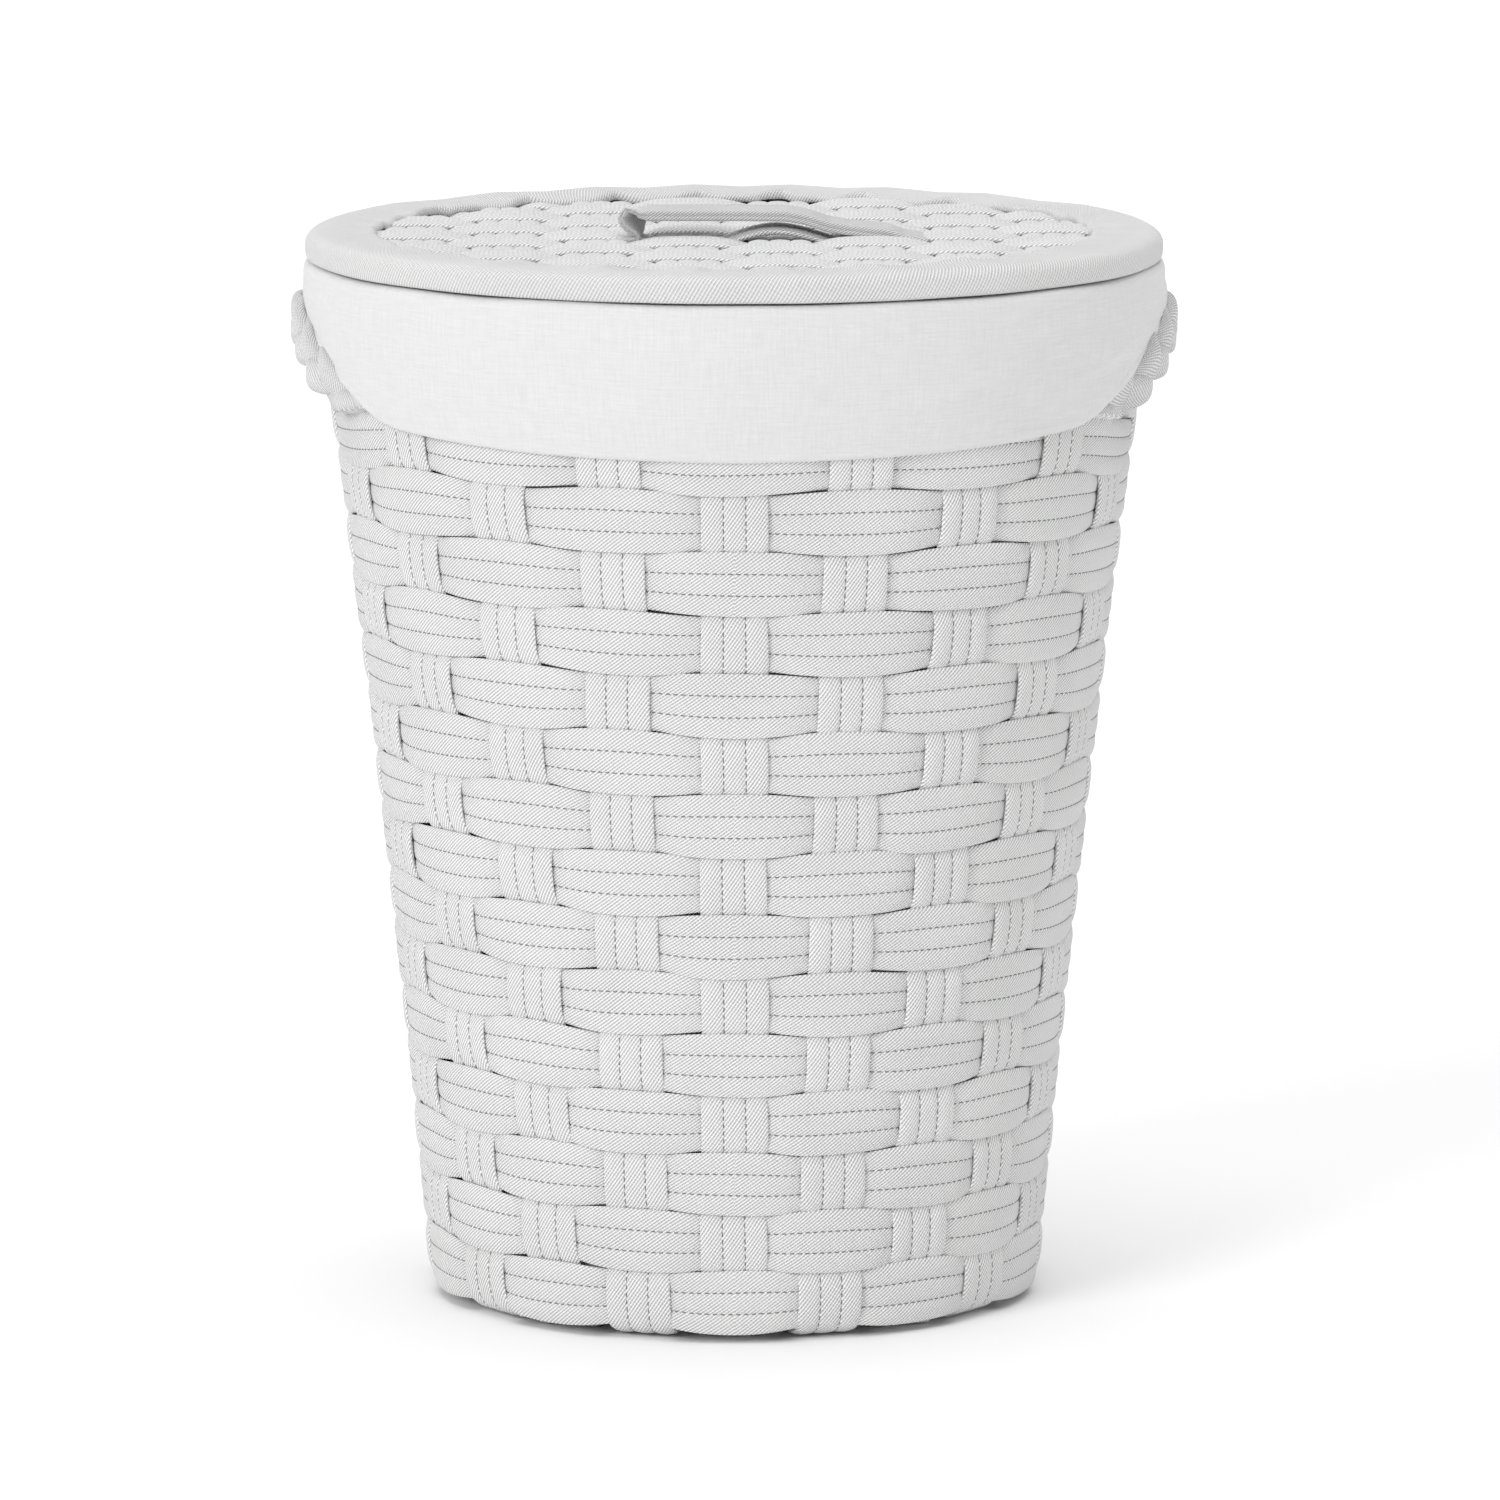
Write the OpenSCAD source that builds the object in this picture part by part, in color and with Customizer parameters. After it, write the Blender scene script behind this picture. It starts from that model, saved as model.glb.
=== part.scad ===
// Round laundry hamper woven from quilted fabric straps, with a cotton liner
// folded over its rim, a woven lid that lifts off and two braided handles.
//
// Ten long straps cross under the base and turn up the wall as twenty stakes.
// Sixteen ring-shaped weavers pass in front of and behind the stakes in turn.
//
// Millimetres. The origin is the centre of the base, on the floor. +Z is up,
// the front faces -Y, and the handles are on the left (-X) and right (+X).

/* [Wall] */
// Outer radius of the woven wall at the floor
base_r = 154.2; // [152:0.2:156]
// Outer radius of the woven wall at the top of the stakes
rim_r = 210; // [209:0.5:210]
// How far the wall bows inwards halfway up
bow = 3.2; // [2.8:0.2:3.4]
// Height of the middle of the lowest weaver
first_row_z = 20.4; // [20:0.2:21]
// Distance from one weaver to the next
row_pitch = 30.3; // [30.2:0.05:30.4]

/* [Straps] */
// Thickness of a padded strap in the wall
strap_t = 4.6; // [4.2:0.2:4.6]
// Width of an upright strap
stake_w = 28; // [26:1:28]
// Height of a weaver
weaver_h = 23; // [21:1:23]
// How far a strap swings out and in as it weaves
weave = 2.9; // [2.9:0.1:3]

/* [Liner] */
// Thickness of the liner's cloth, with its padding of folds
liner_t = 1.4; // [1:0.2:1.6]
// Thickness of the hemmed cuff outside the rim
cuff_t = 2; // [1.6:0.2:2]
// Height of the cuff's lower edge
hem_z = 446; // [444:1:450]
// Width of the notch in the cuff at each handle
notch_w = 236; // [230:2:240]
// Height of that notch above the hem
notch_h = 57; // [55:1:58]

/* [Handles] */
// Half the distance between a side handle's two ends
handle_half_w = 92; // [88:1:92]
// Height at which a side handle comes out of the wall
handle_z = 459.5; // [459.5:0.1:460]
// How far a side handle rises above its ends
handle_rise = 33; // [30:1:33]
// Width of one strand of the braid
strand_w = 8.2; // [7:0.2:8.2]
// Thickness of one strand of the braid
strand_t = 4.2; // [3.8:0.2:4.2]

/* [Lid] */
// Outer radius of the lid
lid_r = 215; // [214:0.5:216]
// Height of the lid's underside
lid_z = 523.4; // [523.4:0.2:526]
// Thickness of the lid at its bound edge
lid_t = 14; // [14:0.5:16]
// Distance between two ribs of the lid
rib_pitch = 45.8; // [45:0.2:46.2]
// Thickness of a strap in the lid
lid_strap_t = 4; // [3.6:0.2:4]
// How far a strap in the lid swings up and down
lid_weave = 2.2; // [2.2:0.1:2.3]
// Height of the lid handle's top above the lid's edge
lid_handle_rise = 11; // [10:0.5:14]

/* [Hidden] */
$fn = 96;

STAKES = 20;
ROWS = 16;
STAKE_STEP = 360 / STAKES;
STRAPS_EACH_WAY = 5;
RIBS = 8;
CROSS_STRAPS = 11;
SIDES = ["left", "right"];

clear = 0.4;
stake_top = 506;
turn_r = 138;
stake_turn = 6;
stake_flat = weaver_h / 2 + 0.9;
weaver_flat = stake_w / 2 + 1.5;
base_low_z = strap_t / 2;
foot_z = base_low_z + 0.3;
base_high_z = base_low_z + strap_t + clear;
base_flat = stake_w / 2 + 0.8;
base_ramp = 8.9;

rim_mid_z = 498;
rim_band_low = 494.5;
rim_band_top = 519.5;
rim_slot = 2.9;
rim_wall = 2;
hoop_r = 3;
hoop_z = 513;

bag_floor_z = base_high_z + strap_t / 2 + clear + liner_t / 2;
bag_top = 520.4;
notch_fullness = 0.72;
crown_z = 521.7;

lid_mid_z = lid_z + lid_t / 2;
lid_edge_r = lid_t / 2;
binding_w = 37;
lid_groove_r = 202.5;
lid_strap_end_r = 200;
lid_hoop_ring_r = lid_r - 6.7;
rib_w = 28;
cross_w = 22.5;
cross_pitch = 30.3;
rib_flat = rib_w / 2 + 0.8;
cross_flat = cross_w / 2 + 0.3;

function two_digits(n) = n < 10 ? str("0", n) : str(n);
function weaver_name(n) = str("weaver_", two_digits(n));
function long_strap_name(way, j) = str(way, "_strap_", j);
function rib_name(j) = str("lid_rib_", j);
function cross_name(m) = str("lid_cross_strap_", two_digits(m));
function strand_name(side, i) = str("handle_", side, "_strand_", i);

// ---- the wall's shape ----

// Outer radius of the woven wall at height z: a cone, slightly bowed inwards
function wall_out(z) =
    let (up = z / stake_top)
    base_r + (rim_r - base_r) * up - 4 * bow * up * (1 - up);
// Radius of the middle of the weave
function wall_mid(z) = wall_out(z) - weave - strap_t / 2;
// Innermost radius of the weave
function wall_in(z) = wall_mid(z) - weave - strap_t / 2;
function row_z(n) = first_row_z + (n - 1) * row_pitch;
// 1 where weaver n passes outside stake k, and -1 where it passes inside
function side_of(n, k) = (n + k) % 2 == 1 ? 1 : -1;
// Horizontal direction at an angle from the front, turning towards the right
function outward(a) = [sin(a), -cos(a)];
function sideways(a) = [cos(a), sin(a)];

// ---- paths and straps ----

function left_of(a, b) = let (d = b - a) [-d[1], d[0]] / norm(d);
function mitre(a, b) = (a + b) / (1 + a * b);
// An open path moved sideways by d, with mitred corners
function beside(path, d) =
    let (last = len(path) - 1)
    [for (i = [0 : last]) path[i] + d * mitre(
        left_of(path[max(i - 1, 0)], path[max(i, 1)]),
        left_of(path[min(i, last - 1)], path[min(i + 1, last)]))];
// A closed path moved sideways by d, with mitred corners
function around(path, d) =
    let (n = len(path))
    [for (i = [0 : n - 1]) path[i] + d * mitre(
        left_of(path[(i + n - 1) % n], path[i]),
        left_of(path[i], path[(i + 1) % n]))];
function backwards(path) = [for (i = [len(path) - 1 : -1 : 0]) path[i]];

module band(path, thick)
    polygon(concat(beside(path, thick / 2), backwards(beside(path, -thick / 2))));

module closed_band(path, thick)
    difference() {
        polygon(around(path, -thick / 2));
        polygon(around(path, thick / 2));
    }

// A strap that follows a path, width wide
module strap(path, width, thick)
    linear_extrude(width, center = true) band(path, thick);

// Turns a drawing in (radius, height) to stand at angle a from the front
module standing_at(a) rotate([0, 0, a - 90]) rotate([90, 0, 0]) children();

// ---- the woven wall ----

// Corners of weaver n, which steps out and in from stake to stake
function weaver_path(n) = [
    for (k = [0 : STAKES - 1], end = [-1, 1])
        let (a = k * STAKE_STEP)
        (wall_mid(row_z(n)) + side_of(n, k) * weave) * outward(a) + end * weaver_flat * sideways(a)
];

module weaver(n)
    color("whitesmoke")
    translate([0, 0, row_z(n)])
        linear_extrude(weaver_h, center = true) closed_band(weaver_path(n), strap_t);

function stake_r(n, k) = wall_mid(row_z(n)) - side_of(n, k) * weave;

// One stake in (radius, height): out of the base, round the corner and up
function stake_path(k) = concat(
    [
        [turn_r - 3, foot_z],
        [stake_r(1, k) - stake_turn, foot_z],
        [stake_r(1, k) - stake_turn * (1 - sin(45)), foot_z + stake_turn * (1 - cos(45))],
        [stake_r(1, k), foot_z + stake_turn]
    ],
    [for (n = [1 : ROWS], end = [-1, 1]) if (n > 1 || end > 0) [stake_r(n, k), row_z(n) + end * stake_flat]],
    [
        [wall_mid(rim_mid_z), rim_band_low - 1],
        [wall_mid(rim_mid_z), stake_top]
    ]
);

module stake(k) standing_at(k * STAKE_STEP) strap(stake_path(k), stake_w, strap_t);

// Distance of long strap j from the middle of the base
function offset_of(j) = turn_r * sin(j * STAKE_STEP);
// Distance from the middle at which long strap j turns towards its stake
function reach_of(j) = turn_r * cos(j * STAKE_STEP);

// The base stretch of a long strap, as (distance along it, height)
function base_path(j, first) =
    let (half = floor(STRAPS_EACH_WAY / 2))
    concat(
        [[-reach_of(j), base_low_z], [offset_of(-half) - base_flat - base_ramp, base_low_z]],
        [for (i = [-half : half], end = [-1, 1])
            [offset_of(i) + end * base_flat, (i + j + first) % 2 == 0 ? base_high_z : base_low_z]],
        [[offset_of(half) + base_flat + base_ramp, base_low_z], [reach_of(j), base_low_z]]
    );

// The folded corner where a long strap turns towards its stake
module base_corner(x, y)
    translate([x, y, (foot_z - base_low_z) / 2]) cylinder(h = strap_t, r = stake_w / 2 - 0.3);

module front_back_strap(j)
    color("gainsboro") {
        translate([offset_of(j), 0, 0]) rotate([90, 0, 90]) strap(base_path(j, 0), stake_w, strap_t);
        for (y = [-1, 1]) base_corner(offset_of(j), y * reach_of(j));
        stake(j + (j < 0 ? STAKES : 0));
        stake(STAKES / 2 - j);
    }

module left_right_strap(j)
    color("gainsboro") {
        translate([0, offset_of(j), 0]) rotate([90, 0, 0]) strap(base_path(j, 1), stake_w, strap_t);
        for (x = [-1, 1]) base_corner(x * reach_of(j), offset_of(j));
        stake(STAKES / 4 + j);
        stake(3 * STAKES / 4 - j);
    }

// ---- the rim ----

module rim_hoop()
    color("silver")
    rotate_extrude() translate([wall_mid(rim_mid_z), hoop_z]) circle(r = hoop_r);

// Doubled band that folds over the hoop and grips the tops of the stakes
module rim_binding()
    color("whitesmoke")
    rotate_extrude()
        difference() {
            translate([wall_mid(rim_mid_z) - rim_slot - rim_wall, rim_band_low])
                square([2 * (rim_slot + rim_wall), rim_band_top - rim_band_low]);
            translate([wall_mid(rim_mid_z) - rim_slot, rim_band_low - 1])
                square([2 * rim_slot, stake_top + clear - rim_band_low + 1]);
            translate([wall_mid(rim_mid_z), hoop_z]) circle(r = hoop_r + 0.2);
        }

// ---- the liner ----

// The straps stand upright, so the bag keeps clear of the row half a pitch lower
function bag_r(z) = wall_in(max(min(z, rim_band_low) - row_pitch / 2, 0)) - clear - liner_t / 2;

// Round panel seamed into the lower edge of the liner's wall
module liner_floor()
    color("white")
    translate([0, 0, bag_floor_z - liner_t / 2])
        cylinder(h = liner_t, r = bag_r(bag_floor_z) + liner_t / 2);

module liner_wall()
    color("white")
    rotate_extrude()
        band(concat(
            [for (z = [bag_floor_z + liner_t / 2 + 0.1 : 48 : bag_top - 24]) [bag_r(z), z]],
            [[bag_r(bag_top), bag_top]]), liner_t);

// Middle of the cuff's cloth in (radius, height), from the hem up over the rim
function cuff_path() = [
    [wall_out(hem_z) + 2, hem_z],
    [wall_out(hem_z) + 5.6, hem_z + 13],
    [lid_r - 2.6, hem_z + 40],
    [lid_r - 0.2, hem_z + 55],
    [lid_r - 0.6, hem_z + 65],
    [lid_r - 2.2, crown_z - 5.2],
    [lid_r - 4, crown_z - 1.3],
    [lid_r - 7, crown_z],
    [bag_r(bag_top) - liner_t / 2, crown_z]
];

// Edge of the notch over each handle as (distance forwards, height): a full, square-shouldered arch
function notch_edge() = [
    for (a = [0 : 6 : 180])
        [notch_w / 2 * sign(cos(a)) * pow(abs(cos(a)), notch_fullness),
         hem_z + notch_h * pow(sin(a), notch_fullness)]
];

// How far in from the lid's edge the notches are cut, well past the cuff
notch_depth = 95;

module cuff_notches()
    for (side = [-1, 1])
        translate([side * lid_r, 0, 0])
            rotate([90, 0, 90])
                linear_extrude(2 * notch_depth, center = true)
                    polygon(concat([[-notch_w / 2, hem_z - 10]], backwards(notch_edge()), [[notch_w / 2, hem_z - 10]]));

module liner_cuff()
    color("white")
    difference() {
        rotate_extrude() band(cuff_path(), cuff_t);
        cuff_notches();
    }

// ---- the side handles ----

braid_turns = 2.5;
braid_swing = (23 - strand_w) / 2;
braid_depth = 4.5;
braid_gap = 8.2;
strand_rings = 28;
strand_sides = 8;

// How sharply the braid's arch turns at its top before it slopes down straight
braid_bend = 2.6;
function slope_down(s) = sqrt(1 + pow(braid_bend * s, 2)) - 1;
// Middle of the right handle's braid, from its front end, s = -1, over its top to its back end, s = 1
function braid_at(s) =
    let (y = handle_half_w * s, z = handle_z - 1.5 + handle_rise * (1 - slope_down(s) / slope_down(1)))
    let (r = wall_out(z) + braid_gap)
    [sqrt(r * r - y * y), y, z];
function unit(v) = v / norm(v);
function braid_along(s) = unit(braid_at(s + 0.01) - braid_at(s - 0.01));
function braid_out(s) = let (p = braid_at(s)) unit([p[0], p[1], 0]);
function braid_across(s) = unit(cross(braid_out(s), braid_along(s)));
// Middle of strand i, which swings across the braid once a turn and in and out twice
function strand_at(s, i) =
    let (turn = 180 * braid_turns * (s + 1) + 120 * i)
    braid_at(s) + braid_swing * sin(turn) * braid_across(s) + braid_depth * sin(2 * turn) * braid_out(s);

function strand_points(i) = [
    for (ring = [0 : strand_rings], side = [0 : strand_sides - 1])
        let (s = -1.06 + 2.12 * ring / strand_rings, a = 360 * side / strand_sides)
        strand_at(s, i) + strand_w / 2 * cos(a) * braid_across(s) + strand_t / 2 * sin(a) * braid_out(s)
];
function strand_faces() = concat(
    [[for (side = [0 : strand_sides - 1]) side]],
    [for (ring = [0 : strand_rings - 1], side = [0 : strand_sides - 1])
        let (a = ring * strand_sides + side, b = ring * strand_sides + (side + 1) % strand_sides)
        [b, a, a + strand_sides, b + strand_sides]],
    [[for (side = [strand_sides - 1 : -1 : 0]) strand_rings * strand_sides + side]]
);

module on_side(side)
    if (side == "left") mirror([1, 0, 0]) children();
    else children();

module handle_strand(side, i)
    color("whitesmoke")
    on_side(side)
        intersection() {
            polyhedron(strand_points(i), strand_faces(), convexity = 6);
            translate([0, -lid_r, handle_z]) cube([2 * lid_r, 2 * lid_r, stake_top]);
        }

tail_w = 22;
tail_h = 2.6;
tail_out = 13;
// Distance from the middle of the hamper to the line a handle bends about
bend_x = 189.6;

// One stitched end of the right braid, tucked between two weavers. It stays inside the
// line the handle bends about, so that the braid can swing down past it.
module handle_tail(end)
    intersection() {
        rotate([0, 0, end * asin(handle_half_w / (wall_out(handle_z) + braid_gap))])
            translate([wall_in(handle_z) - clear / 2, -tail_w / 2, handle_z - clear - tail_h])
                cube([wall_out(handle_z) + tail_out - wall_in(handle_z), tail_w, tail_h]);
        translate([0, -lid_r, 0]) cube([bend_x - clear, 2 * lid_r, stake_top]);
    }

module handle_tails()
    color("whitesmoke")
    for (side = SIDES, end = [-1, 1])
        on_side(side) handle_tail(end);

// ---- the lid ----

module lid_hoop()
    color("silver")
    rotate_extrude() translate([lid_hoop_ring_r, lid_mid_z]) circle(r = hoop_r);

module lid_binding()
    color("whitesmoke")
    rotate_extrude()
        difference() {
            union() {
                for (r = [lid_r - lid_edge_r, lid_r - binding_w + lid_edge_r])
                    translate([r, lid_mid_z]) circle(r = lid_edge_r);
                translate([lid_r - binding_w + lid_edge_r, lid_z])
                    square([binding_w - 2 * lid_edge_r, lid_t]);
            }
            translate([lid_groove_r - binding_w, lid_mid_z - lid_weave - lid_strap_t / 2 - clear])
                square([binding_w, 2 * (lid_weave + lid_strap_t / 2 + clear)]);
            translate([lid_hoop_ring_r, lid_mid_z]) circle(r = hoop_r + 0.2);
        }

function rib_x(j) = (j - (RIBS + 1) / 2) * rib_pitch;
function cross_y(m) = (m - (CROSS_STRAPS + 1) / 2) * cross_pitch;
// Half the length of a strap in the lid whose far edge is at distance d
function half_chord(d) = sqrt(pow(lid_strap_end_r, 2) - d * d);
// Whether a strap of half length half gets to a crossing at place
function reaches(place, flat, half) = abs(place) - flat < half;
// The end of a strap is level, at the height it has over or under its last crossing
function end_z(place, flat, half, up) = abs(place) + flat < half ? lid_mid_z : lid_mid_z + up * lid_weave;

// A lid strap as (distance along it, height) with a level stretch at each crossing
function lid_path(places, ups, half) =
    let (last = len(places) - 1)
    concat(
        [[-half, end_z(places[0][0], places[0][1], half, ups[0])]],
        [for (i = [0 : last], end = [-1, 1])
            let (x = places[i][0] + end * places[i][1])
            if (abs(x) < half) [x, lid_mid_z + ups[i] * lid_weave]],
        [[half, end_z(places[last][0], places[last][1], half, ups[last])]]
    );

module lid_rib(j) {
    half = half_chord(abs(rib_x(j)) + rib_w / 2);
    met = [for (m = [1 : CROSS_STRAPS]) if (reaches(cross_y(m), cross_flat, half)) m];
    color("gainsboro")
    translate([rib_x(j), 0, 0]) rotate([90, 0, 90])
        strap(lid_path([for (m = met) [cross_y(m), cross_flat]],
                       [for (m = met) (m + j) % 2 == 0 ? 1 : -1], half), rib_w, lid_strap_t);
}

module lid_cross_strap(m) {
    half = half_chord(abs(cross_y(m)) + cross_w / 2);
    met = [for (j = [1 : RIBS]) if (reaches(rib_x(j), rib_flat, half)) j];
    color("whitesmoke")
    translate([0, cross_y(m), 0]) rotate([90, 0, 0])
        strap(lid_path([for (j = met) [rib_x(j), rib_flat]],
                       [for (j = met) (m + j) % 2 == 0 ? -1 : 1], half), cross_w, lid_strap_t);
}

lid_handle_y = -4;
lid_handle_w = 28;
lid_handle_foot_z = lid_mid_z + lid_weave + lid_strap_t + clear;
lid_handle_top_z = lid_z + lid_t + lid_handle_rise - lid_strap_t / 2;

// Steep on the left and gently sloped on the right, with a flat foot at each end
function lid_handle_path() = [
    [-64, lid_handle_foot_z],
    [-52, lid_handle_foot_z],
    [-47, lid_handle_top_z - 2],
    [-40, lid_handle_top_z],
    [44, lid_handle_top_z],
    [80, lid_handle_foot_z],
    [92, lid_handle_foot_z]
];

module lid_handle()
    color("whitesmoke")
    translate([0, lid_handle_y, 0]) rotate([90, 0, 0])
        strap(lid_handle_path(), lid_handle_w, lid_strap_t);

// ---- the parts ----

half_straps = (STRAPS_EACH_WAY + 1) / 2;

for (n = [1 : ROWS])
    weaver(n);
for (j = [1 : STRAPS_EACH_WAY]) {
    front_back_strap(j - half_straps);
    left_right_strap(j - half_straps);
}
rim_hoop();
rim_binding();
liner_floor();
liner_wall();
liner_cuff();
for (side = SIDES, i = [1 : 3])
    handle_strand(side, i);
handle_tails();
lid_hoop();
lid_binding();
lid_handle();
for (j = [1 : RIBS])
    lid_rib(j);
for (m = [1 : CROSS_STRAPS])
    lid_cross_strap(m);
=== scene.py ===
"""Woven laundry hamper with lid: its cloth, weave, stitching and looks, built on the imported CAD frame."""

import math

import bpy
import numpy as np
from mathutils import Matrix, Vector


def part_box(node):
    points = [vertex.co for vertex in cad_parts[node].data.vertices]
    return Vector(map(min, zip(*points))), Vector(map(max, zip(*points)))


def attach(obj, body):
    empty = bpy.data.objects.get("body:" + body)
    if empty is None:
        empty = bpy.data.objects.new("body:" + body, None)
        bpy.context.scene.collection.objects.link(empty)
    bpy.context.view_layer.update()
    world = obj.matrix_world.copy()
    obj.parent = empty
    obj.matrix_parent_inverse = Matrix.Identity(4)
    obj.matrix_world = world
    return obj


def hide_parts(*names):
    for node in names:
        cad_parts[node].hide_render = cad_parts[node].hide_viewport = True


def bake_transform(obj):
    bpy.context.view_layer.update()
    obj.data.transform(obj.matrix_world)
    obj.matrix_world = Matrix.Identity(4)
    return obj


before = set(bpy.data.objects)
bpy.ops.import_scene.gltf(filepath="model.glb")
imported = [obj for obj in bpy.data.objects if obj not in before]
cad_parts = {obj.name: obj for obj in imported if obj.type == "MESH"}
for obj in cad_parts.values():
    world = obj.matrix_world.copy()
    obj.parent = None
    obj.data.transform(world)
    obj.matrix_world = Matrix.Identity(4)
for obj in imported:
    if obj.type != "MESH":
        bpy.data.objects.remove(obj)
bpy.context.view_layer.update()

# ---- sizes, in metres ----

ROWS = 16
STAKES = 20
STAKE_STEP = 360 // STAKES  # degrees from one stake to the next
WEAVE = 0.0021  # how far a strap swings out and in
STRAP_T = 0.0044
STAKE_W = 0.0330
WEAVER_W = 0.0303  # mean height of a weaver
WEAVER_SWELL = 0.0027  # how much taller it is where it lies outside a stake
STITCH_PITCH = 0.0038
STITCH_LENGTH = 0.0029
THREAD_R = 0.00036
RIBS = 8
CROSS_STRAPS = 11
LID_STRAP_T = 0.0043
LID_TUCK_R = 0.19  # middle of the stretch where the binding covers the straps' ends
RIB_SWING = (-0.4, 1.6, 0.0022, -0.0020)  # lead, steepness, highest and lowest, as swing() takes them
CROSS_SWING = (0.3, 1.25, 0.0032, -0.0021)
CLOTH_T = 0.0011
STEP = 0.0018  # distance between two sections of a strap
FLOOR_GAP = 0.0003


# ---- small helpers ----

UP = np.array([0, 0, 1.0])


def unit(v):
    return v / np.linalg.norm(v, axis=-1, keepdims=True)


def smooth(x):
    x = np.clip(x, 0, 1)
    return x * x * (3 - 2 * x)


def squarer(x, k):
    """Flattens a wave between -1 and 1 at its tops and bottoms."""
    return np.tanh(k * x) / math.tanh(k)


def ripple(rng, turn, orders, size):
    """A small smooth irregularity that repeats after one whole turn."""
    waves = [np.cos(order * turn + rng.uniform(0, 2 * math.pi)) for order in orders]
    return size * sum(waves) / math.sqrt(len(orders))


def outward(turn):
    """Horizontal direction at an angle from the front, turning towards the right."""
    return np.stack([np.sin(turn), -np.cos(turn), np.zeros_like(turn)], -1)


def at(radius, turn, height):
    """Points at radii, angles from the front and heights, whose shapes may differ."""
    radius, turn, height = np.broadcast_arrays(radius, turn, height)
    return outward(turn) * radius[..., None] + np.stack([0 * turn, 0 * turn, height], -1)


def round_turn(count):
    return np.linspace(0, 2 * math.pi, count, endpoint=False)


def away_from(turn, spot):
    """Angle from a spot on the ring, the short way round."""
    return (turn - spot + math.pi) % (2 * math.pi) - math.pi


def degrees_from_front(turn):
    return np.abs((np.degrees(turn) + 180) % 360 - 180)


def girth_marks(section):
    """Distances along a closed section, from its first point round to that point again."""
    closed = np.concatenate([section, section[:1]])
    return np.concatenate([[0], np.cumsum(np.hypot(*np.diff(closed, axis=0).T))])


def middle(node, axis):
    low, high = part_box(node)
    return (low[axis] + high[axis]) / 2


def resampled(points, values, step):
    """Points of a path at even distances, with values that go with them."""
    gaps = np.linalg.norm(np.diff(points, axis=0), axis=1)
    run = np.concatenate([[0], np.cumsum(gaps)])
    want = np.linspace(0, run[-1], int(run[-1] / step) + 1)
    both = np.concatenate([points, values], 1)
    both = np.stack([np.interp(want, run, column) for column in both.T], 1)
    return both[:, :3], both[:, 3:]


def eased(points, reach):
    """Points of an evenly spaced open path, each moved to the mean of those within reach of it."""
    padded = np.concatenate([
        2 * points[0] - points[reach:0:-1], points, 2 * points[-1] - points[-2:-2 - reach:-1]])
    sums = np.cumsum(np.concatenate([np.zeros((1, points.shape[1])), padded]), axis=0)
    width = 2 * reach + 1
    return (sums[width:] - sums[:-width]) / width


# ---- the frame's own places ----


def weaver_node(n):
    return "weaver_%02d" % n


row_z = [middle(weaver_node(n), 2) for n in range(1, ROWS + 1)]
ROW_PITCH = (row_z[-1] - row_z[0]) / (ROWS - 1)
row_reach = [max(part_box(weaver_node(n))[1][:2]) for n in range(1, ROWS + 1)]
wall_curve = np.polyfit(row_z, row_reach, 2)


def wall_out(z):
    return np.polyval(wall_curve, z)


def wall_mid(z):
    return wall_out(z) - WEAVE - STRAP_T / 2


def wall_in(z):
    return wall_mid(z) - WEAVE - STRAP_T / 2


def wall_lean(z):
    return np.polyval(np.polyder(wall_curve), z)


lid_low, lid_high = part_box("lid_binding")
LID_R = lid_high[0]
LID_MID = (lid_low[2] + lid_high[2]) / 2
LID_T = lid_high[2] - lid_low[2]
STAKE_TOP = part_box("front_back_strap_3")[1][2]
STAKE_CALM = 0.482  # above this a stake runs straight to its top
CROWN_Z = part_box("liner_cuff")[1][2]
BAG_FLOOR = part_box("liner_floor")[1][2]
HINGE_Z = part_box("handle_right_strand_1")[0][2]
BRAID_HALF = 0.092  # half the distance between a handle's two ends
BRAID_END = 1.17  # where the strands stop, hidden in the wall, as a multiple of that
BRAID_RISE = 0.0345
BRAID_BEND = 2.6  # how sharply a braid turns at its top before it slopes down straight
BRAID_GAP = 0.0072
BRAID_TAPER = 0.0058  # how much closer to the wall it is at its ends
BRAID_TURNS = 2.5  # whole turns each strand makes between the two ends
STRAND_SWAY, STRAND_DEPTH = 0.0058, 0.0030  # how far a strand swings across the braid, and out
STRAND_HALF_W, STRAND_HALF_T = 0.0084, 0.0040
STRAND_GIRTH = 0.036
TUCK_DEPTH = 0.0074  # how far in from the wall's face a tucked strand lies
TUCK_LENGTH = 0.0035
BRAID_ROW = 15  # the weaver a braid goes in behind
PRESS_DOWN = 0.0060  # how far a braid presses that weaver down
PRESSED_EDGE = 1.5  # how far its upper edge and the weaver above it go down, as a multiple of that
PRESSED_WIDTH = 25  # degrees to each side of a handle's middle
SIDE_SAG = 0.0040  # how much lower the weavers lie at the sides than in front
TILT = 0.0020  # how much lower they lie on the right than in the middle


# ---- building a mesh ----

CLOTH_SLOT, THREAD_SLOT = 0, 1


def above_floor(points):
    """Flattens what would sink into the floor."""
    return np.maximum(points, np.array([-np.inf, -np.inf, FLOOR_GAP]))


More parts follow.
